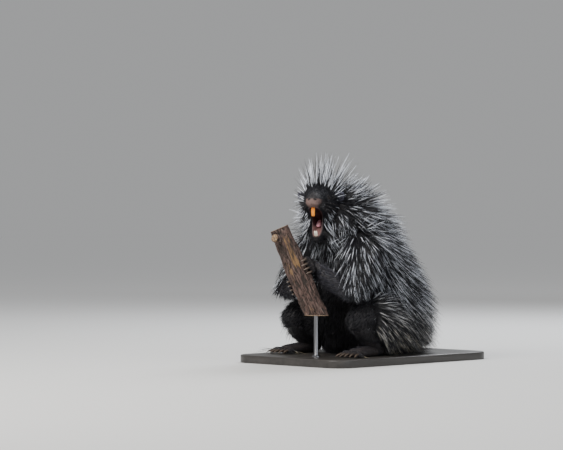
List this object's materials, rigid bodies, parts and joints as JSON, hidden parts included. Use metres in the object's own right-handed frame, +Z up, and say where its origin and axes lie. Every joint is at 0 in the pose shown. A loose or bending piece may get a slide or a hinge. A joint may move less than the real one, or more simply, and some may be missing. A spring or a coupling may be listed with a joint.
{
  "type": "porcupine model",
  "caption": "Still life-size model of a porcupine sitting up with its mouth wide open, both forepaws on a cut length of branch, on a plain flat display base.",
  "frame": {"origin": "centre of the underside of the flat display base", "axes": "+Z up, the sitting body faces -Y with its head turned towards +X, the animal's left is +X"},
  "size_m": [0.3475, 0.5628, 0.4754],
  "materials": {
    "quilled_coat": "near-black fur and guard hair with long white-tipped quills",
    "dark_coat": "short near-black fur",
    "paw_skin": "dark paw with short fur, pebbled pads and dark horn claws",
    "upper_tooth": "orange enamel",
    "lower_tooth": "pale yellow enamel",
    "tongue_skin": "moist pink",
    "eye_gloss": "glossy black-brown",
    "bark": "weathered ridged bark with ochre patches, sawn ends",
    "stand_finish": "dark satin paint on wood",
    "rod_steel": "satin"
  },
  "bodies": {
    "root": {"chest": "quilled_coat", "ear_left": "dark_coat", "ear_right": "dark_coat", "eye_left": "eye_gloss", "eye_right": "eye_gloss", "forearm_left": "dark_coat", "forearm_right": "dark_coat", "forepaw_left": "paw_skin", "forepaw_right": "paw_skin", "head": "quilled_coat", "hind_foot_left": "paw_skin", "hind_foot_right": "paw_skin", "lower_incisors": "lower_tooth", "lower_jaw": "dark_coat", "neck": "quilled_coat", "perch_branch": "bark", "rump_and_belly": "quilled_coat", "shank_left": "dark_coat", "shank_right": "dark_coat", "stand_base": "stand_finish", "stand_rod": "rod_steel", "tail": "quilled_coat", "thigh_left": "quilled_coat", "thigh_right": "quilled_coat", "tongue": "tongue_skin", "upper_arm_left": "quilled_coat", "upper_arm_right": "quilled_coat", "upper_incisors": "upper_tooth"}
  },
  "joints": []
}
